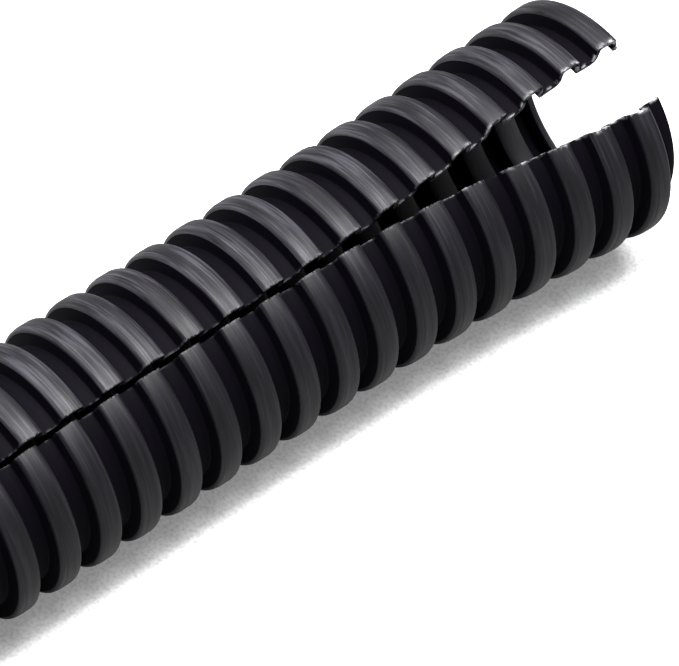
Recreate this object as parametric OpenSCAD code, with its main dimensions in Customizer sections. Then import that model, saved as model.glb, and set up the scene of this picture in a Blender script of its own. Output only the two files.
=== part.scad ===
// Split corrugated conduit: a thin-walled plastic tube with annular corrugations, slit along its
// whole length so that cables can be laid in from the side. One end is sprung open.
// It lies on the floor along X, the opened end at +X, with its slit turned towards -Y; the origin
// is on the floor under the middle.

/* [Tube] */
// Outside diameter over the crests
outer_d = 16; // [15.6:0.1:16.4]
// Inside diameter under the roots
bore_d = 12.7; // [12.5:0.1:12.9]
// Wall thickness
wall = 0.35; // [0.3:0.01:0.38]

/* [Corrugation] */
// Distance from one crest to the next
pitch = 3.3; // [3.2:0.05:3.5]
// Width of a crest over its two shoulders
crest_w = 1.75; // [1.65:0.05:1.8]
// Outer radius of a crest's shoulders
shoulder_r = 0.45; // [0.42:0.01:0.5]
// Outer radius at the foot of a groove
foot_r = 0.15; // [0.1:0.01:0.2]
// Lean of a groove's sides from square
flank_deg = 6; // [4:0.5:8]
// Number of crests
rib_count = 92; // [30:1:92]
// Plain root left beyond the last crest at the square-cut end
stub_len = 1.2; // [1:0.05:1.3]
// Plain root left beyond the first crest at the sprung end, on its slit side
sprung_stub = 1.75; // [1.7:0.05:1.9]
// Slant of the cut at the sprung end, which leaves its slit side longer
end_slant = 5; // [2:0.5:5.5]

/* [Slit] */
// Width of the slit where the tube lies closed
slit_w = 0.5; // [0.3:0.05:0.8]
// Turn of the slit from straight up, as the tube lies
slit_turn = 20; // [16:1:24]
// Extra angle that the slit opens at the sprung end
spread_deg = 29; // [20:1:32]
// Distance over which that opening dies away
spread_reach = 15.8; // [14:0.2:17.6]
// Crests that are opened, from the sprung end
spread_ribs = 12; // [11:1:14]
// Height of the closed run's underside over the first crest's, which lies on the floor
sprung_sag = 0.3; // [0.1:0.05:0.4]

/* [Hidden] */
$fn = 96;

// Straight steps in each rounded corner of the section
steps = 3;
crest_r = outer_d / 2;
root_r = bore_d / 2 + wall;
tube_len = stub_len + sprung_stub + crest_w + (rib_count - 1) * pitch;

// Centres of the shoulder and foot radii, from the middle of a crest
shoulder_x = crest_w / 2 - shoulder_r;
shoulder_y = crest_r - shoulder_r;
foot_y = root_r + foot_r;
flank_len = (shoulder_y - foot_y + (shoulder_r + foot_r) * sin(flank_deg)) / cos(flank_deg);
foot_x = shoulder_x + (shoulder_r + foot_r) * cos(flank_deg) + flank_len * sin(flank_deg);

// Where a crest piece meets a root piece, inside the thickness of the side wall
joint_x = crest_w / 2 - 0.2 * wall;
// Outer and inner radius of the skin at that station
rim_r = shoulder_y + sqrt(pow(shoulder_r, 2) - pow(joint_x - shoulder_x, 2));
sole_r = foot_y - sqrt(pow(foot_r + wall, 2) - pow(foot_x - joint_x, 2));
// A root piece stops this far under the rim, and a crest piece this far above the sole, which is
// more than the radius grows from one piece to the next
lap = 0.6 * wall;

// How far the tube is sprung at a distance from the first crest: 1 there, 0 in the closed run
function sprung(s) = exp(-pow(s / spread_reach, 2));
// Slit angle of the closed run, and at a distance from the first crest
slit_deg = 2 * asin(slit_w / outer_d);
function opening(s) = slit_deg + spread_deg * sprung(s);
// Opening the slit keeps the length of the arc, so the radius grows by this much
function growth(s) = crest_r * ((360 - slit_deg) / (360 - opening(s)) - 1);
// Height of the underside over the floor
function lift(s) = sprung_sag * (1 - sprung(s));

// Station of crest k along the tube, counted from the sprung end
function crest_x(k) = tube_len / 2 - sprung_stub - crest_w / 2 - k * pitch;

function arc(cx, cy, r, a0, a1) =
    [for (i = [0 : steps]) let (a = a0 + (a1 - a0) * i / steps) [cx + r * cos(a), cy + r * sin(a)]];

// One side of a crest at depth d below the outer skin, from its foot up to its shoulder:
// side is -1 on the left, 1 on the right
function flank(x, side, d) = concat(
    [for (p = arc(foot_x, foot_y, foot_r + d, 270, 180 + flank_deg)) [x + side * p[0], p[1]]],
    [for (p = arc(shoulder_x, shoulder_y, shoulder_r - d, flank_deg, 90)) [x + side * p[0], p[1]]]);

function reversed(v) = [for (i = [len(v) - 1 : -1 : 0]) v[i]];

// The skin at depth d over crests first to last, running towards the closed end
function skin(first, last, d) = [for (k = [first : last]) each concat(
    flank(crest_x(k), 1, d), reversed(flank(crest_x(k), -1, d)))];

// Wall section, axial along x and radial along y, from station x1 down to station x0
module wall_section(first, last, x1, x0) {
    polygon(concat(
        [[x1, root_r]], skin(first, last, 0), [[x0, root_r]],
        [[x0, root_r - wall]], reversed(skin(first, last, wall)), [[x1, root_r - wall]]));
}

// Revolves a section about the tube's axis, leaving the slit open by a given angle. The tube's
// underside keeps its own height over the floor, whatever the radius has grown by.
module revolve_open(open_deg, grown, height) {
    translate([0, 0, crest_r + grown + height])
        rotate([0, 90, 0])
            rotate_extrude(start = 180 + slit_turn + open_deg / 2, angle = 360 - open_deg)
                translate([grown, 0])
                    mirror([1, -1])
                        children();
}

// Closed run: crests from spread_ribs on, down to the plain cut end
module closed_run() {
    x1 = crest_x(spread_ribs) + joint_x;
    revolve_open(slit_deg, 0, sprung_sag)
        intersection() {
            wall_section(spread_ribs, rib_count - 1, crest_x(spread_ribs) + pitch / 2, -tube_len / 2);
            union() {
                translate([-tube_len, 0])
                    square([tube_len + crest_x(spread_ribs), crest_r + 1]);
                translate([-tube_len, sole_r + lap])
                    square([tube_len + x1, crest_r]);
            }
        }
}

// One opened crest: the cap and the inner part of its two side walls
module open_crest(k) {
    s = k * pitch;
    revolve_open(opening(s), growth(s), lift(s))
        intersection() {
            wall_section(k, k, crest_x(k) + pitch / 2, crest_x(k) - pitch / 2);
            translate([crest_x(k) - joint_x, sole_r + lap])
                square([2 * joint_x, crest_r]);
        }
}

// One opened root, with the outer part of the side walls on both sides of it
module open_root(k) {
    x1 = crest_x(k) - joint_x;
    s = (k + 0.5) * pitch;
    revolve_open(opening(s), growth(s), lift(s))
        intersection() {
            wall_section(k, k + 1, crest_x(k) + pitch / 2, crest_x(k + 1) - pitch / 2);
            translate([x1 - pitch + 2 * joint_x, 0])
                square([pitch - 2 * joint_x, rim_r - lap]);
        }
}

// Plain root beyond the first crest, cut on a slant that meets the tube's end at the slit
module end_stub() {
    x0 = crest_x(0) + joint_x;
    x1 = tube_len / 2 + stub_len;
    intersection() {
        revolve_open(opening(0), growth(0), lift(0))
            intersection() {
                wall_section(0, 0, x1, crest_x(0) - pitch / 2);
                translate([x0, 0])
                    square([x1 - x0, rim_r - lap]);
            }
        translate([tube_len / 2, 0, crest_r + growth(0)])
            rotate([slit_turn, 0, 0])
                translate([0, 0, root_r])
                    rotate([0, end_slant, 0])
                        translate([-outer_d, -outer_d, -2 * outer_d])
                            cube([outer_d, 2 * outer_d, 3 * outer_d]);
    }
}

module conduit() {
    color([0.16, 0.16, 0.18])
        union() {
            closed_run();
            end_stub();
            for (k = [0 : spread_ribs - 1]) {
                open_crest(k);
                open_root(k);
            }
        }
}

conduit();
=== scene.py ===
"""Dresses the split corrugated conduit: its ribbed skin, its torn cut lips, and the stage."""

import math

import bmesh
import bpy
from bpy.props import FloatProperty, FloatVectorProperty, IntProperty, PointerProperty
from mathutils import Matrix, Vector


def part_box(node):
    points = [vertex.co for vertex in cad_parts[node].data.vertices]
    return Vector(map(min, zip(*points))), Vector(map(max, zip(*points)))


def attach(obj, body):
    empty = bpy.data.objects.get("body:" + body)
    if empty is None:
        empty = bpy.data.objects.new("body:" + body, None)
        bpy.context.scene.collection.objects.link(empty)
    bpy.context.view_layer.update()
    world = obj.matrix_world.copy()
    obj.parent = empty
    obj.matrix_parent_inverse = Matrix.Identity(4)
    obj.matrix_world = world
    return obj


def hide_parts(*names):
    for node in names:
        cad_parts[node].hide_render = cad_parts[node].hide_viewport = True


bl_info = {
    "name": "Split corrugated conduit",
    "version": (1, 0, 0),
    "blender": (4, 5, 0),
    "location": "View3D > Sidebar > Conduit",
    "description": "Builds a slit, ribbed plastic tube with one end sprung open",
    "category": "Object",
}

MM = 0.001
NODE = "conduit"
# Arc from lip to lip over the crests, as the materials' masks take it
LIP_TO_LIP = 49.8 * MM
# Heights over the crest line: the crest plastic, which carries painted light, takes the skin above the
# first and the inside of the roots under the second
SHOULDER_DEPTH = -0.3 * MM
SOLE_DEPTH = -1.5 * MM
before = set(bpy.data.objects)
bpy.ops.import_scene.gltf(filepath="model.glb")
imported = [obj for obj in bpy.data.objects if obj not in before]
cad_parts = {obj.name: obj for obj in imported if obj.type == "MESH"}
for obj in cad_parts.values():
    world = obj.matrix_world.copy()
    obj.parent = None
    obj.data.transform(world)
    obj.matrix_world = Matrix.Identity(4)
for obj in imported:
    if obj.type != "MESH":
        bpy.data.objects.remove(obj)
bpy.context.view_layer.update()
TUBE_LOW, TUBE_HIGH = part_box(NODE)


# ---------------------------------------------------------------- sizes and colours

def length(name, description, default):
    """A length property in millimetres."""
    return FloatProperty(name=name, description=description, default=default, min=0.0, soft_max=400.0)


def turn(name, description, degrees):
    """An angle property whose default is given in degrees."""
    return FloatProperty(
        name=name, description=description, default=math.radians(degrees), subtype="ANGLE")


def colour(name, description, default):
    return FloatVectorProperty(
        name=name, description=description, default=default, size=3, min=0.0, max=1.0, subtype="COLOR")


class TubeSizes(bpy.types.PropertyGroup):
    """Sizes of the wall and its corrugations, in millimetres"""

    crest_radius: length("Crest radius", "Outside radius over the crests", 8.0)
    root_radius: length("Root radius", "Outside radius of the grooves", 6.7)
    wall: length("Wall", "Thickness of the wall", 0.35)
    pitch: length("Pitch", "From one crest to the next", 3.3)
    crest_width: length("Crest width", "Width of a crest over its shoulders", 1.75)
    shoulder: length("Shoulder", "Outer radius of a crest's shoulders", 0.45)
    foot: length("Foot", "Outer radius at the foot of a groove", 0.15)
    flank: turn("Flank", "Lean of a groove's sides from square", 6.0)
    ribs: IntProperty(name="Ribs", description="Number of crests", default=92, min=1)
    sprung_stub: length("Sprung stub", "Plain root beyond the first crest, on its slit side", 1.75)
    near_ribs: IntProperty(
        name="Near ribs", description="Crests of the finely made run at the sprung end", default=22, min=1)


class SlitSizes(bpy.types.PropertyGroup):
    """How the slit lies, opens and frays, in millimetres and degrees"""

    closed: turn("Closed", "Angle of the slit where the tube lies closed", 3.6)
    spread: turn("Spread", "Extra angle of the slit at the sprung end", 36.0)
    reach: length("Reach", "Distance over which the opening dies away", 15.6)
    turned: turn("Turn", "Turn of the slit from straight up", 20.0)
    shift: length("Lip shift", "Lengthwise shift between the two lips", 0.85)
    lean: turn("Ring lean", "Lean of the rings from square", 2.0)
    overhang: length("Overhang", "How far the back lip hangs into the sprung mouth", 0.95)
    sway: length("Sway", "Sideways bend of the sprung end", 0.62)
    draw: length("Draw", "How far the first crests are drawn together", 0.4)
    wander: length("Wander", "How far the knife wandered", 0.09)
    nib: length("Nib", "Length of the torn nibs at the crests' corners", 0.13)
    sag: length("Sag", "How much lower the opened end's underside lies than the closed run's", 0.3)


class PlasticLook(bpy.types.PropertyGroup):
    """Colours and finish of the plastic"""

    crest: colour("Crest", "Colour of the rubbed crests", (0.0125, 0.011, 0.017))
    # This colour paints highlight lines on the shoulders and light inside the roots, and scuffs with
    # painted sheen over the lit half.
    scuffed_and_lit: colour("Scuffed", "Colour of the lines scuffed along a crest's shoulders", (0.07, 0.068, 0.08))
    # The groove colour is near black as painted shade in the grooves and inside the tube.
    groove: colour("Groove", "Colour of the shaded grooves", (0.0007, 0.0005, 0.0014))
    torn: colour("Torn", "Colour of plastic whitened by tearing", (0.45, 0.45, 0.46))
    roughness: FloatProperty(
        name="Roughness", description="Roughness of the crests", default=0.46, min=0, max=1)
    relief: length("Relief", "Height of the drawn streaks", 0.02)


class StageLook(bpy.types.PropertyGroup):
    """Camera, floor and lamps"""

    heading: turn("Heading", "Camera heading from +Y towards +X", 42.87)
    elevation: turn("Elevation", "Camera height above the horizon", 55.37)
    roll: turn("Roll", "Camera roll", 4.87)
    distance: length("Distance", "From the camera to its aim", 332.6)
    lens: FloatProperty(name="Lens", description="Focal length in millimetres", default=264.2, min=1)
    floor: colour("Floor", "Colour of the floor", (0.82, 0.82, 0.83))
    key: FloatProperty(name="Key", description="Power of the overhead lamp in watts", default=9.5, min=0)
    back: FloatProperty(
        name="Back", description="Power of the strip lamp behind in watts", default=3.8, min=0)


# ---------------------------------------------------------------- formulas in node trees

class Num:
    """A number in a node tree, written in formulas with the usual signs."""

    def __init__(self, tree, socket):
        self.tree, self.socket = tree, socket

    def math(self, operation, *others):
        node = self.tree.nodes.new("ShaderNodeMath")
        node.operation = operation
        for slot, value in zip(node.inputs, (self, *others)):
            if isinstance(value, Num):
                self.tree.links.new(value.socket, slot)
            else:
                slot.default_value = value
        return Num(self.tree, node.outputs[0])

    def __add__(self, other):
        return self.math("ADD", other)

    def __sub__(self, other):
        return self.math("SUBTRACT", other)

    def __mul__(self, other):
        return self.math("MULTIPLY", other)

    def __truediv__(self, other):
        return self.math("DIVIDE", other)

    def flipped(self, top):
        """top minus this number."""
        return (self * -1.0) + top

    def bell(self, width):
        """1 at zero, dying away over a width as exp(-(v / width)^2)."""
        part = self / width
        return (part * part * -1.0).math("EXPONENT")

    def clamped(self, low, high):
        return self.math("MAXIMUM", low).math("MINIMUM", high)


def new_tree(name, kind, inputs, outputs):
    """A node group with named sockets, its input numbers by name, and its output node."""
    tree = bpy.data.node_groups.new(name, kind)
    for label, socket_type, default in inputs:
        socket = tree.interface.new_socket(label, in_out="INPUT", socket_type=socket_type)
        if default is not None:
            socket.default_value = default
    for label, socket_type in outputs:
        tree.interface.new_socket(label, in_out="OUTPUT", socket_type=socket_type)
    source = tree.nodes.new("NodeGroupInput")
    given = {label: Num(tree, source.outputs[label]) for label, _, _ in inputs}
    return tree, given, tree.nodes.new("NodeGroupOutput")


def parts_of(tree, vector):
    """The three numbers of a vector socket."""
    node = tree.nodes.new("ShaderNodeSeparateXYZ")
    tree.links.new(vector, node.inputs[0])
    return [Num(tree, node.outputs[i]) for i in range(3)]


def joined(tree, *numbers):
    """A vector socket of three numbers."""
    node = tree.nodes.new("ShaderNodeCombineXYZ")
    for slot, value in zip(node.inputs, numbers):
        if isinstance(value, Num):
            tree.links.new(value.socket, slot)
        else:
            slot.default_value = value
    return node.outputs[0]


def noise(tree, vector, scale, detail=2.0, seed=0.0):
    """Smooth noise from 0 to 1 over a vector socket."""
    node = tree.nodes.new("ShaderNodeTexNoise")
    node.noise_dimensions = "4D"
    tree.links.new(vector, node.inputs["Vector"])
    node.inputs["W"].default_value = seed
    node.inputs["Scale"].default_value = scale
    node.inputs["Detail"].default_value = detail
    return Num(tree, node.outputs[0])


# ---------------------------------------------------------------- the wall's section

def section(tube, depth, steps, flats, relief):
    """Half a pitch on both sides of a crest, left to right, at a depth under the outer skin.

    Points are (station, height over the crest line). relief is what the skin's drawn lines add.
    """
    shoulder_x = tube.crest_width / 2 - tube.shoulder
    shoulder_y = -tube.shoulder
    foot_y = tube.root_radius - tube.crest_radius + tube.foot
    lean = tube.flank
    rise = shoulder_y - foot_y + (tube.shoulder + tube.foot) * math.sin(lean)
    run = rise / math.cos(lean)
    foot_x = shoulder_x + (tube.shoulder + tube.foot) * math.cos(lean) + run * math.sin(lean)
    right = [(shoulder_x * i / flats, -depth) for i in range(flats)]
    for i in range(steps + 1):
        a = math.pi / 2 + (lean - math.pi / 2) * i / steps
        radius = tube.shoulder - depth
        right.append((shoulder_x + radius * math.cos(a), shoulder_y + radius * math.sin(a)))
    bends = max(2, steps // 2)
    for i in range(bends + 1):
        a = math.pi + lean + (math.pi / 2 - lean) * i / bends
        radius = tube.foot + depth
        right.append((foot_x + radius * math.cos(a), foot_y + radius * math.sin(a)))
    right.append((tube.pitch / 2, tube.root_radius - tube.crest_radius - depth))
    whole = [(-x, y) for x, y in reversed(right[1:])] + right
    return [(x, y + relief(x)) for x, y in whole], foot_x


def bell(x, middle, width):
    return math.exp(-(((x - middle) / width) ** 2))


def drawn_lines(x):
    """The bead and grooves that the mould leaves round each crest's shoulders."""
    return 0.012 * bell(x, -0.72, 0.06) - 0.05 * bell(x, -0.5, 0.07) - 0.02 * bell(x, 0.5, 0.05)


def plain(x):
    return 0.0


def arc_stations(total, fine, coarse):
    """Stations along the arc from lip to lip: the fine ones near both lips, even ones between."""
    gap = total - 2 * fine[-1]
    count = max(4, round(gap / coarse))
    middle = [fine[-1] + gap * i / count for i in range(1, count)]
    return [*fine, *middle, *(total - a for a in reversed(fine))]


def wall_tile(name, outer, inner, arcs, cap=0):
    """A flat stretch of the wall, between an outer and an inner section line, as a mesh.

    cap is 1 to close its right end and -1 to close its left end.
    """
    form = bmesh.new()
    top = [[form.verts.new((x * MM, a * MM, y * MM)) for a in arcs] for x, y in outer]
    low = [[form.verts.new((x * MM, a * MM, y * MM)) for a in arcs] for x, y in inner]
    for i in range(len(outer) - 1):
        for j in range(len(arcs) - 1):
            form.faces.new((top[i][j], top[i + 1][j], top[i + 1][j + 1], top[i][j + 1]))
    for i in range(len(inner) - 1):
        for j in range(len(arcs) - 1):
            form.faces.new((low[i][j], low[i][j + 1], low[i + 1][j + 1], low[i + 1][j]))
    for face in form.faces:
        face.smooth = True
    cut = []
    if len(outer) > 1:
        cut.append(form.faces.new([r[0] for r in low] + [r[0] for r in reversed(top)]))
        cut.append(form.faces.new([r[-1] for r in top] + [r[-1] for r in reversed(low)]))
    if cap:
        a, b = (top[-1], low[-1]) if cap > 0 else (low[0], top[0])
        for j in range(len(arcs) - 1):
            cut.append(form.faces.new((b[j], b[j + 1], a[j + 1], a[j])))
    bmesh.ops.triangulate(form, faces=cut, ngon_method="EAR_CLIP")
    mesh = bpy.data.meshes.new(name)
    form.to_mesh(mesh)
    form.free()
    return mesh


# ---------------------------------------------------------------- rolling the wall up

def run_tree():
    """Repeats a flat wall tile along the tube, adds its end tiles, and rolls the wall up.

    A flat place is (station, arc from the back lip, height over the crest line), in metres.
    """
    lengths = ("First Crest", "Pitch", "Crest Radius", "Sprung End", "Foot End", "Reach", "Lip Shift",
               "Overhang", "Sway", "Draw", "Wander", "Nib", "Sag", "Crest Width")
    angles = ("Closed", "Spread", "Turn", "Lean")
    inputs = [("Geometry", "NodeSocketGeometry", None), ("Ribs", "NodeSocketInt", 1),
              ("Seed", "NodeSocketFloat", 3.0), ("Crest Material", "NodeSocketMaterial", None),
              ("Groove Material", "NodeSocketMaterial", None),
              ("Right End", "NodeSocketObject", None), ("Left End", "NodeSocketObject", None)]
    inputs += [(label, "NodeSocketFloat", 0.0) for label in (*lengths, *angles)]
    outputs = [("Geometry", "NodeSocketGeometry")]
    tree, given, out = new_tree("Corrugated Run", "GeometryNodeTree", inputs, outputs)
    link, new = tree.links.new, tree.nodes.new

    row = new("GeometryNodeMeshLine")
    link(given["Ribs"].socket, row.inputs["Count"])
    link(joined(tree, given["First Crest"], 0.0, 0.0), row.inputs["Start Location"])
    link(joined(tree, given["Pitch"] * -1.0, 0.0, 0.0), row.inputs["Offset"])
    tiles = new("GeometryNodeInstanceOnPoints")
    link(row.outputs[0], tiles.inputs["Points"])
    link(given["Geometry"].socket, tiles.inputs["Instance"])
    gather = new("GeometryNodeJoinGeometry")
    link(tiles.outputs[0], gather.inputs[0])
    for label in ("Right End", "Left End"):
        end = new("GeometryNodeObjectInfo")
        link(given[label].socket, end.inputs["Object"])
        link(end.outputs["Geometry"], gather.inputs[0])
    real = new("GeometryNodeRealizeInstances")
    link(gather.outputs[0], real.inputs[0])
    weld = new("GeometryNodeMergeByDistance")
    link(real.outputs[0], weld.inputs[0])
    weld.inputs["Distance"].default_value = 0.002 * MM

    place = new("GeometryNodeInputPosition").outputs[0]
    keep = new("GeometryNodeStoreNamedAttribute")
    keep.data_type, keep.domain = "FLOAT_VECTOR", "POINT"
    keep.inputs["Name"].default_value = "flat_place"
    link(weld.outputs[0], keep.inputs[0])
    link(place, keep.inputs["Value"])
    lay = new("GeometryNodeSetPosition")
    link(keep.outputs[0], lay.inputs[0])
    link(rolled_up(tree, given, place), lay.inputs["Position"])
    flat = new("GeometryNodeInputNamedAttribute")
    flat.data_type = "FLOAT_VECTOR"
    flat.inputs["Name"].default_value = "flat_place"
    height = parts_of(tree, flat.outputs[0])[2]
    on_crest = height.math("GREATER_THAN", SHOULDER_DEPTH)
    on_sole = height.math("LESS_THAN", SOLE_DEPTH)
    # The groove plastic, near black as painted shade, goes everywhere first; the crest plastic, with its
    # painted light, then goes on the crests and the inside of the roots.
    last = lay
    for label, chosen in (("Groove Material", None), ("Crest Material", on_crest.math("MAXIMUM", on_sole))):
        paint = new("GeometryNodeSetMaterial")
        link(last.outputs[0], paint.inputs[0])
        link(given[label].socket, paint.inputs["Material"])
        if chosen:
            link(chosen.socket, paint.inputs["Selection"])
        last = paint
    link(last.outputs[0], out.inputs[0])
    return tree


def rolled_up(tree, given, place):
    """The place in the tube of a flat place, as a vector socket."""
    x, arc, height = parts_of(tree, place)
    radius = given["Crest Radius"]
    full = (given["Closed"] * -1.0 + 2 * math.pi)
    arc_length = full * radius
    from_end = (given["Sprung End"] - x).math("MAXIMUM", 0.0)
    rib = ((given["First Crest"] - x) / given["Pitch"]).math("ROUND")
    phase = x - (given["First Crest"] - rib * given["Pitch"])
    freed = from_end.bell(given["Reach"])
    opening = given["Closed"] + given["Spread"] * freed
    left = opening * -1.0 + 2 * math.pi
    growth = radius * (full / left - 1.0)

    # the cut lips: the knife's wander everywhere, nibs at the corners of the opened crests
    along = joined(tree, x, 0.0, 0.0)
    waves_per_metre = 900.0
    back = (noise(tree, along, waves_per_metre, 3.0, 1.7) - 0.5) * given["Wander"] * 2.0
    front = (noise(tree, along, waves_per_metre, 3.0, 8.3) - 0.5) * given["Wander"] * 2.0
    rib_place = joined(tree, rib * 7.31, given["Seed"], 0.0)
    chance = (noise(tree, rib_place, 1.0, 0.0, 4.0) - 0.3).clamped(0.0, 1.0)
    corner = given["Crest Width"] * 0.36
    nib_width = 0.15 * MM
    nib = given["Nib"] * freed * (chance * 1.6 + 0.25)
    back = back + nib * (phase - corner).bell(nib_width)
    front = front + nib * (phase + corner).bell(nib_width)
    back = back + given["Overhang"] * from_end.bell(given["Pitch"] * 2.3)
    fade = 0.9 * MM
    arc_in = arc - back * arc.bell(fade) + front * (arc.flipped(0.0) + arc_length).bell(fade)

    share = arc_in / arc_length
    angle = opening * 0.5 + share * left
    reach = radius + height + growth
    side = reach * angle.math("SINE")
    up = reach * angle.math("COSINE")

    # the plain stub beyond the first crest is cut on a slant, and torn away at the back lip
    stub_start = given["Foot End"]
    stub = (x - stub_start).math("MAXIMUM", 0.0)
    torn = ((arc - 8 * MM) / (12 * MM)).clamped(0.0, 1.0)
    slant = ((up * 0.095 + 0.62 * MM) * torn).math("MAXIMUM", 0.04 * MM)
    station = x - stub + stub / (given["Sprung End"] - stub_start) * slant
    station = station + up * given["Lean"].math("TANGENT") + given["Lip Shift"] * (share.flipped(0.5))
    station = station - given["Draw"] * from_end.bell(given["Pitch"] * 2.2)

    twist = given["Turn"] - freed * math.radians(1.2)
    cos, sin = twist.math("COSINE"), twist.math("SINE")
    sway = given["Sway"] * from_end.bell(given["Pitch"] * 3.6)
    y = side * cos - up * sin - sway
    z = side * sin + up * cos + radius + growth + given["Sag"] * freed.flipped(1.0)
    return joined(tree, station, y, z)


def grown(name, seed_mesh, tree, values):
    """Runs a Geometry Nodes tree on a mesh and keeps the outcome as a plain mesh object."""
    source = bpy.data.objects.new(name + "_seed", seed_mesh)
    bpy.context.scene.collection.objects.link(source)
    grow = source.modifiers.new("Grow", "NODES")
    grow.node_group = tree
    for item in tree.interface.items_tree:
        if item.item_type == "SOCKET" and item.in_out == "INPUT" and item.name in values:
            grow[item.identifier] = values[item.name]
    depsgraph = bpy.context.evaluated_depsgraph_get()
    outcome = source.evaluated_get(depsgraph)
    mesh = bpy.data.meshes.new_from_object(outcome, preserve_all_data_layers=True, depsgraph=depsgraph)
    mesh.name = name
    source.modifiers.remove(grow)
    bpy.data.objects.remove(source)
    piece = bpy.data.objects.new(name, mesh)
    bpy.context.scene.collection.objects.link(piece)
    return piece


# ---------------------------------------------------------------- materials

CREST_SPECULAR = 0.3
GROOVE_SPECULAR = 0.035
GROOVE_ROUGHNESS = 0.6

def streak_group():
    """Fine lines drawn round the tube: tone from 0 to 1, scuffs from 0 to 1, and a height."""
    inputs = [("Place", "NodeSocketVector", None)]
    outputs = [("Tone", "NodeSocketFloat"), ("Scuff", "NodeSocketFloat"), ("Height", "NodeSocketFloat")]
    tree, given, out = new_tree("Drawn Streaks", "ShaderNodeTree", inputs, outputs)
    x, arc, height = parts_of(tree, given["Place"].socket)
    hair = noise(tree, joined(tree, x, arc * 0.035, height), 9000.0, 3.0, 2.0)
    band = noise(tree, joined(tree, x, arc * 0.05, height), 2600.0, 2.0, 5.0)
    cloud = noise(tree, joined(tree, x, arc * 0.5, height), 300.0, 2.0, 9.0)
    tone = hair * 0.4 + band * 0.4 + cloud * 0.2
    grain = noise(tree, given["Place"].socket, 14000.0, 2.0, 3.0)
    scuff = (hair * 0.45 + band * 0.55 - 0.5) * 9.0 + (cloud - 0.5) * 2.0
    tree.links.new((scuff.clamped(0.0, 1.0) * (grain * 0.8 + 0.6)).socket, out.inputs["Scuff"])
    tree.links.new(tone.socket, out.inputs["Tone"])
    tree.links.new((hair * 0.5 + band * 0.35 + grain * 0.15).socket, out.inputs["Height"])
    return tree


def whitening_group():
    """Where cut or torn plastic has gone pale: a mask near the lips of the opened end."""
    inputs = [("Place", "NodeSocketVector", None), ("Arc", "NodeSocketFloat", LIP_TO_LIP),
              ("Sprung End", "NodeSocketFloat", 0.15), ("Width", "NodeSocketFloat", 0.0002)]
    tree, given, out = new_tree("Torn Whitening", "ShaderNodeTree", inputs, [("Mask", "NodeSocketFloat")])
    x, arc, height = parts_of(tree, given["Place"].socket)
    other = given["Arc"] - arc
    lip = arc.math("MINIMUM", other).math("MAXIMUM", 0.0)
    opened = (given["Sprung End"] - x).bell(16 * MM)
    patch = (noise(tree, joined(tree, x, arc, height), 1700.0, 3.0, 6.0) - 0.46) * 6.0
    mask = lip.bell(given["Width"]) * patch.clamped(0.0, 1.0) * (opened + 0.12)
    tree.links.new(mask.clamped(0.0, 1.0).socket, out.inputs["Mask"])
    return tree


def placed(material, group, **values):
    """A node group in a material, with its input values set by name."""
    node = material.node_tree.nodes.new("ShaderNodeGroup")
    node.node_tree = group
    for label, value in values.items():
        node.inputs[label.replace("_", " ")].default_value = value
    return node


def blend_colour(tree, factor, a, b):
    """A colour between two, each a socket or a colour."""
    node = tree.nodes.new("ShaderNodeMix")
    node.data_type = "RGBA"
    tree.links.new(factor, node.inputs["Factor"])
    for slot, value in ((node.inputs[6], a), (node.inputs[7], b)):
        if isinstance(value, bpy.types.NodeSocket):
            tree.links.new(value, slot)
        else:
            slot.default_value = (*value, 1.0)
    return node.outputs[2]


def line_group():
    """Painted highlight lines along each crest's shoulders, and painted shade lines just inside them.

    Its third output is 1 on the half of the tube beside the back lip, as painted light, and dies away
    beyond it.
    """
    inputs = [("Place", "NodeSocketVector", None), ("First Crest", "NodeSocketFloat", 0.15),
              ("Pitch", "NodeSocketFloat", 0.0033)]
    outputs = [("Light", "NodeSocketFloat"), ("Dark", "NodeSocketFloat"), ("Lit Zone", "NodeSocketFloat")]
    tree, given, out = new_tree("Crest Lines", "ShaderNodeTree", inputs, outputs)
    x, arc, _ = parts_of(tree, given["Place"].socket)
    half = given["Pitch"] * 0.5
    phase = (x - given["First Crest"]).math("WRAP", half, half * -1.0)
    glint_patches = (noise(tree, joined(tree, x, arc, 0.0), 420.0, 2.0, 11.0) - 0.3).clamped(0.0, 1.0) * 1.8
    faint = (noise(tree, joined(tree, x, arc, 0.0), 350.0, 2.0, 17.0) - 0.35).clamped(0.0, 1.0) * 1.8
    # upper is painted light: 1 over the half beside the back lip, weak beyond.
    upper = (arc.flipped(24 * MM) / (6 * MM)).clamped(0.0, 1.0) * 0.9 + 0.1
    # Painted highlights on the shoulders, in patches, only over the lit half.
    light = (phase + 0.76 * MM).bell(0.06 * MM) * glint_patches + (phase - 0.74 * MM).bell(0.05 * MM) * faint * 0.6
    light = light * upper
    # The zone adds a weaker band of painted light along the front lip.
    zone = upper.math("MAXIMUM", arc.flipped(LIP_TO_LIP).bell(3.5 * MM) * 0.3)
    tree.links.new(zone.socket, out.inputs["Lit Zone"])
    # Painted shade lines just inside the shoulders, where the small drawn grooves lie.
    dark = (phase + 0.54 * MM).bell(0.08 * MM) + (phase - 0.53 * MM).bell(0.05 * MM) * faint
    tree.links.new(light.clamped(0.0, 1.0).socket, out.inputs["Light"])
    tree.links.new(dark.clamped(0.0, 1.0).socket, out.inputs["Dark"])
    return tree


def plastic_start(name, roughness, specular):
    """A new plastic with its flat place read, and its shader."""
    material = bpy.data.materials.new(name)
    material.use_nodes = True
    tree = material.node_tree
    shader = tree.nodes["Principled BSDF"]
    shader.inputs["Roughness"].default_value = roughness
    shader.inputs["Specular IOR Level"].default_value = specular
    flat = tree.nodes.new("ShaderNodeAttribute")
    flat.attribute_name = "flat_place"
    return material, shader, flat.outputs["Vector"]


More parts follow.
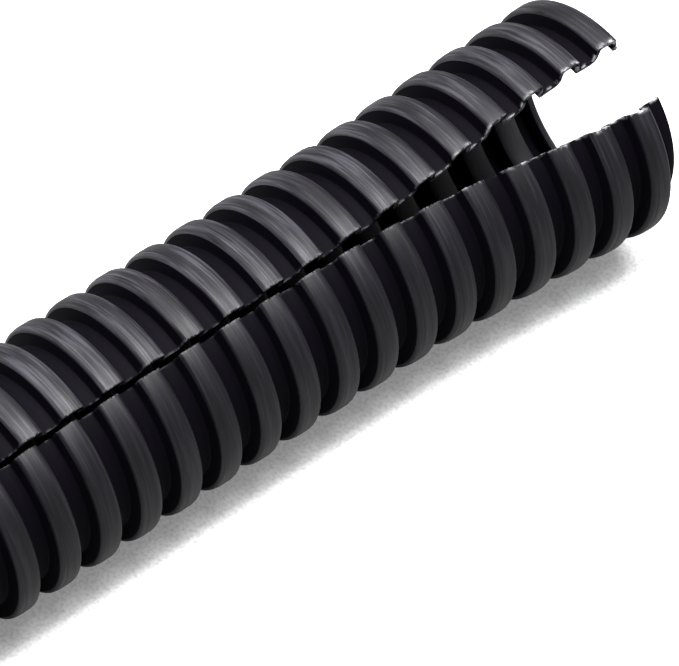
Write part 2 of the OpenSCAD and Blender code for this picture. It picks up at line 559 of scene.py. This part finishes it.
def crest_plastic(look, tube, streaks, whitening):
    """Black plastic on the crests, with drawn streaks, painted highlight and painted shade lines at the
    shoulders, and painted light over the back half and inside the roots.
    """
    material, shader, flat = plastic_start("crest_plastic_painted_light", look.roughness, CREST_SPECULAR)
    tree = material.node_tree
    first = TUBE_HIGH[0] - (tube.sprung_stub + tube.crest_width / 2) * MM
    drawn = placed(material, streaks)
    lines = placed(material, line_group(), First_Crest=first, Pitch=tube.pitch * MM)
    pale = placed(material, whitening, Width=0.16 * MM, Sprung_End=TUBE_HIGH[0])
    for group in (drawn, lines, pale):
        tree.links.new(flat, group.inputs["Place"])
    tone = Num(tree, drawn.outputs["Tone"])
    lit_zone = Num(tree, lines.outputs["Lit Zone"])
    # Painted light and shade: the crests blend from the near-black groove colour towards the crest colour
    # along the streaks, most over the lit half beside the back lip.
    streaked_and_lit = ((tone - 0.5) * 5.5 + 0.55).clamped(0.0, 1.6) * (lit_zone * 0.65 + 0.35)
    base = blend_colour(tree, streaked_and_lit.socket, look.groove, look.crest)
    # Painted shade lines inside the shoulders.
    base = blend_colour(tree, (Num(tree, lines.outputs["Dark"]) * 0.75).socket, base, look.groove)
    # Painted highlight lines on the shoulders.
    base = blend_colour(tree, (Num(tree, lines.outputs["Light"]) * 0.6).socket, base, look.scuffed_and_lit)
    # Streak scuffs kept to the lit half: partly scuffs and partly painted sheen.
    scuffed_and_lit = Num(tree, drawn.outputs["Scuff"]) * lit_zone
    base = blend_colour(tree, (scuffed_and_lit * 0.5).socket, base, look.scuffed_and_lit)
    # Painted light on the inside of the roots.
    sole = parts_of(tree, flat)[2].math("LESS_THAN", SOLE_DEPTH)
    base = blend_colour(tree, (sole * 0.45).socket, base, look.scuffed_and_lit)
    base = blend_colour(tree, pale.outputs["Mask"], base, look.torn)
    tree.links.new(base, shader.inputs["Base Color"])
    rough = (tone - 0.5) * -0.5 + Num(tree, pale.outputs["Mask"]) * 0.2 + look.roughness
    tree.links.new(rough.socket, shader.inputs["Roughness"])
    bump = tree.nodes.new("ShaderNodeBump")
    bump.inputs["Strength"].default_value = 1.0
    bump.inputs["Distance"].default_value = look.relief * MM
    tree.links.new(drawn.outputs["Height"], bump.inputs["Height"])
    tree.links.new(bump.outputs[0], shader.inputs["Normal"])
    return material


def groove_plastic_painted_shade(look, streaks, whitening):
    """Black plastic in the grooves and inside the tube, near black as painted shade."""
    material, shader, flat = plastic_start("groove_plastic_painted_shade", GROOVE_ROUGHNESS, GROOVE_SPECULAR)
    tree = material.node_tree
    drawn = placed(material, streaks)
    pale = placed(material, whitening, Width=0.12 * MM, Sprung_End=TUBE_HIGH[0])
    for group in (drawn, pale):
        tree.links.new(flat, group.inputs["Place"])
    tone = Num(tree, drawn.outputs["Tone"])
    # Painted shade: the near-black groove colour, lifted a little towards the crest colour by the streaks.
    base = blend_colour(tree, (tone * 0.25).socket, look.groove, look.crest)
    base = blend_colour(tree, pale.outputs["Mask"], base, look.torn)
    tree.links.new(base, shader.inputs["Base Color"])
    return material


def skin_plastics(scene):
    """The tube's two plastics, made once: crests, then grooves."""
    made = [bpy.data.materials.get(name) for name in ("crest_plastic_painted_light", "groove_plastic_painted_shade")]
    if all(made):
        return made
    look, streaks, whitening = scene.plastic_look, streak_group(), whitening_group()
    crest = crest_plastic(look, scene.tube_sizes, streaks, whitening)
    return [crest, groove_plastic_painted_shade(look, streaks, whitening)]


# ---------------------------------------------------------------- the two runs of the tube

def arc_length(tube, slit):
    """Arc from lip to lip over the crests, in millimetres."""
    return (2 * math.pi - slit.closed) * tube.crest_radius


def add_run(scene, name, first, count, fine):
    """One run of ribs, from crest number first, with its two ends closed."""
    tube, slit = scene.tube_sizes, scene.slit_sizes
    steps, flats, hollow_steps, coarse = (9, 4, 3, 0.75) if fine else (3, 1, 2, 1.2)
    lines = drawn_lines if fine else plain
    outer, foot_end = section(tube, 0.0, steps, flats, lines)
    inner, _ = section(tube, tube.wall, hollow_steps, 1, plain)
    near = (0.0, 0.1, 0.22, 0.36, 0.54, 0.78, 1.1, 1.55) if fine else (0.0, 0.4)
    arcs = arc_stations(arc_length(tube, slit), near, coarse)
    tile = wall_tile(name + "_tile", outer, inner, arcs)

    sprung = TUBE_HIGH[0] / MM
    crest_0 = sprung - tube.sprung_stub - tube.crest_width / 2
    right = crest_0 - first * tube.pitch + tube.pitch / 2
    left = right - count * tube.pitch
    root = tube.root_radius - tube.crest_radius
    far_right = sprung if first == 0 else right
    far_left = TUBE_LOW[0] / MM if first + count == tube.ribs else left

    def end_object(label, x0, x1, cap):
        steps_out = [x0] if abs(x1 - x0) < 1e-6 else [x0, (x0 + x1) / 2, x1]
        top = [(x, root) for x in steps_out]
        low = [(x, root - tube.wall) for x in steps_out]
        mesh = wall_tile(label, top, low, arcs, cap)
        end = bpy.data.objects.new(label, mesh)
        scene.collection.objects.link(end)
        return end

    ends = [
        end_object(name + "_right", right, far_right, 1),
        end_object(name + "_left", far_left, left, -1),
    ]
    tree = bpy.data.node_groups.get("Corrugated Run") or run_tree()
    crest_skin, groove_skin = skin_plastics(scene)
    piece = grown(name, tile, tree, {
        "Ribs": count, "Crest Material": crest_skin, "Groove Material": groove_skin,
        "Right End": ends[0], "Left End": ends[1],
        "First Crest": (right - tube.pitch / 2) * MM, "Pitch": tube.pitch * MM,
        "Crest Radius": tube.crest_radius * MM, "Sprung End": sprung * MM,
        "Foot End": (crest_0 + foot_end) * MM, "Reach": slit.reach * MM, "Lip Shift": slit.shift * MM,
        "Overhang": slit.overhang * MM, "Sway": slit.sway * MM, "Draw": slit.draw * MM,
        "Wander": slit.wander * MM, "Nib": slit.nib * MM, "Crest Width": tube.crest_width * MM,
        "Sag": slit.sag * MM,
        "Closed": slit.closed, "Spread": slit.spread, "Turn": slit.turned, "Lean": slit.lean,
    })
    for end in ends:
        bpy.data.objects.remove(end)
    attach(piece, "root")
    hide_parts(NODE)
    return piece


class CONDUIT_OT_sprung_run(bpy.types.Operator):
    """Build the finely made ribs at the sprung end"""

    bl_idname = "conduit.sprung_run"
    bl_label = "Sprung run"

    def execute(self, context):
        tube = context.scene.tube_sizes
        add_run(context.scene, "sprung_run", 0, tube.near_ribs, True)
        return {"FINISHED"}


class CONDUIT_OT_closed_run(bpy.types.Operator):
    """Build the rest of the ribs, down to the square-cut end"""

    bl_idname = "conduit.closed_run"
    bl_label = "Closed run"

    def execute(self, context):
        tube = context.scene.tube_sizes
        add_run(context.scene, "closed_run", tube.near_ribs, tube.ribs - tube.near_ribs, False)
        return {"FINISHED"}


# ---------------------------------------------------------------- the stage

def floor_material(look):
    """Pale floor that keeps the tube's shadow and is white to the camera elsewhere.

    It is dull to every other ray, so that it doesn't light the tube's underside.
    """
    material = bpy.data.materials.new("studio_floor")
    material.use_nodes = True
    tree = material.node_tree
    shader = tree.nodes["Principled BSDF"]
    shader.inputs["Roughness"].default_value = 0.9
    shader.inputs["Specular IOR Level"].default_value = 0.0
    path = tree.nodes.new("ShaderNodeLightPath")
    seen = Num(tree, path.outputs["Is Camera Ray"]) + Num(tree, path.outputs["Is Transmission Ray"])
    seen = seen.clamped(0.0, 1.0)
    shader.inputs["Emission Color"].default_value = (1.0, 1.0, 1.0, 1.0)
    place = tree.nodes.new("ShaderNodeTexCoord").outputs["Object"]
    x, y, _ = parts_of(tree, place)
    clear_of_tube = 0.3
    away = ((x * x + y * y).math("SQRT") - clear_of_tube).clamped(0.0, 1.0)
    near_glow = 0.13
    tree.links.new((seen * (away * 2.0 + near_glow)).socket, shader.inputs["Emission Strength"])
    fibre = (noise(tree, place, 3600.0, 1.0, 4.0) - 0.5) * 2.6 + 0.75
    fleck = tuple(0.62 * part for part in look.floor)
    shade = blend_colour(tree, fibre.clamped(0.0, 1.0).socket, fleck, look.floor)
    dull = tuple(0.3 * part for part in look.floor)
    tree.links.new(blend_colour(tree, seen.socket, dull, shade), shader.inputs["Base Color"])
    return material


def add_floor(scene):
    half = 3.0
    mesh = bpy.data.meshes.new("floor")
    corners = [(-half, -half, 0), (half, -half, 0), (half, half, 0), (-half, half, 0)]
    mesh.from_pydata([Vector(c) for c in corners], [], [(0, 1, 2, 3)])
    mesh.materials.append(floor_material(scene.stage_look))
    floor = bpy.data.objects.new("floor", mesh)
    scene.collection.objects.link(floor)


def add_world(scene):
    """White to the camera, softer on the object and in its reflections."""
    world = bpy.data.worlds.new("studio")
    scene.world = world
    world.use_nodes = True
    tree = world.node_tree
    background = tree.nodes["Background"]
    background.inputs["Color"].default_value = (1.0, 1.0, 1.0, 1.0)
    path = tree.nodes.new("ShaderNodeLightPath")
    seen = Num(tree, path.outputs["Is Camera Ray"]) + Num(tree, path.outputs["Is Transmission Ray"])
    glossy = Num(tree, path.outputs["Is Glossy Ray"])
    to_camera, in_reflections, elsewhere = 1.1, 0.4, 0.5
    strength = seen.clamped(0.0, 1.0) * (to_camera - elsewhere)
    strength = strength + glossy * (in_reflections - elsewhere) + elsewhere
    tree.links.new(strength.socket, background.inputs["Strength"])


def add_lamp(scene, name, place, aim, size, power):
    """An area lamp that faces its aim; size is its width and height."""
    lamp = bpy.data.lights.new(name, "AREA")
    lamp.shape = "RECTANGLE"
    lamp.size, lamp.size_y = size
    lamp.energy = power
    holder = bpy.data.objects.new(name, lamp)
    holder.location = place
    holder.rotation_euler = (Vector(aim) - Vector(place)).to_track_quat("-Z", "Y").to_euler()
    scene.collection.objects.link(holder)


def add_camera(scene):
    """Camera on its heading and elevation round the aim, with a long lens."""
    look = scene.stage_look
    aim = Vector((TUBE_HIGH[0] - 27.13 * MM, -4.14 * MM, 8.3 * MM))
    level = math.cos(look.elevation)
    forward = Vector((
        math.sin(look.heading) * level, math.cos(look.heading) * level, -math.sin(look.elevation)))
    right = Vector((math.cos(look.heading), -math.sin(look.heading), 0.0))
    up = right.cross(forward)
    tilted = right * math.cos(look.roll) + up * math.sin(look.roll)
    upright = tilted.cross(forward)
    turned = Matrix((tilted, upright, -forward)).transposed().to_4x4()
    data = bpy.data.cameras.new("camera")
    data.lens = look.lens
    data.sensor_width = 36.0
    data.clip_start = 0.01
    data.clip_end = 20.0
    camera = bpy.data.objects.new("camera", data)
    camera.matrix_world = Matrix.Translation(aim - forward * look.distance * MM) @ turned
    scene.collection.objects.link(camera)
    scene.camera = camera


class CONDUIT_OT_stage(bpy.types.Operator):
    """Set the floor, the lamps, the world and the camera"""

    bl_idname = "conduit.stage"
    bl_label = "Stage"

    def execute(self, context):
        scene = context.scene
        look = scene.stage_look
        add_floor(scene)
        add_world(scene)
        middle = (TUBE_HIGH[0] - 0.03, 0.0, 0.0)
        over = (middle[0], -0.03, 0.6)
        behind = (middle[0] - 0.1, 0.42, 0.5)
        add_lamp(scene, "overhead", over, middle, (0.6, 0.16), look.key)
        add_lamp(scene, "behind", behind, middle, (0.8, 0.24), look.back)
        add_camera(scene)
        scene.view_settings.view_transform = "Standard"
        return {"FINISHED"}


class CONDUIT_PT_panel(bpy.types.Panel):
    """Lists the conduit's pieces and sizes"""

    bl_label = "Split corrugated conduit"
    bl_space_type = "VIEW_3D"
    bl_region_type = "UI"
    bl_category = "Conduit"

    def draw(self, context):
        for group in ("tube_sizes", "slit_sizes", "plastic_look", "stage_look"):
            box = self.layout.box()
            sizes = getattr(context.scene, group)
            for name in sizes.bl_rna.properties.keys():
                if name not in ("rna_type", "name"):
                    box.prop(sizes, name)
        for operator in OPERATORS:
            self.layout.operator(operator.bl_idname)


# ---------------------------------------------------------------- running it

GROUPS = {
    "tube_sizes": TubeSizes,
    "slit_sizes": SlitSizes,
    "plastic_look": PlasticLook,
    "stage_look": StageLook,
}
OPERATORS = (CONDUIT_OT_sprung_run, CONDUIT_OT_closed_run, CONDUIT_OT_stage)


def register():
    for name, group in GROUPS.items():
        bpy.utils.register_class(group)
        setattr(bpy.types.Scene, name, PointerProperty(type=group))
    for cls in (*OPERATORS, CONDUIT_PT_panel):
        bpy.utils.register_class(cls)


def unregister():
    for cls in (CONDUIT_PT_panel, *reversed(OPERATORS)):
        bpy.utils.unregister_class(cls)
    for name, group in GROUPS.items():
        delattr(bpy.types.Scene, name)
        bpy.utils.unregister_class(group)


def main():
    register()
    bpy.ops.conduit.sprung_run()
    bpy.ops.conduit.closed_run()
    bpy.ops.conduit.stage()


if __name__ == "__main__":
    main()
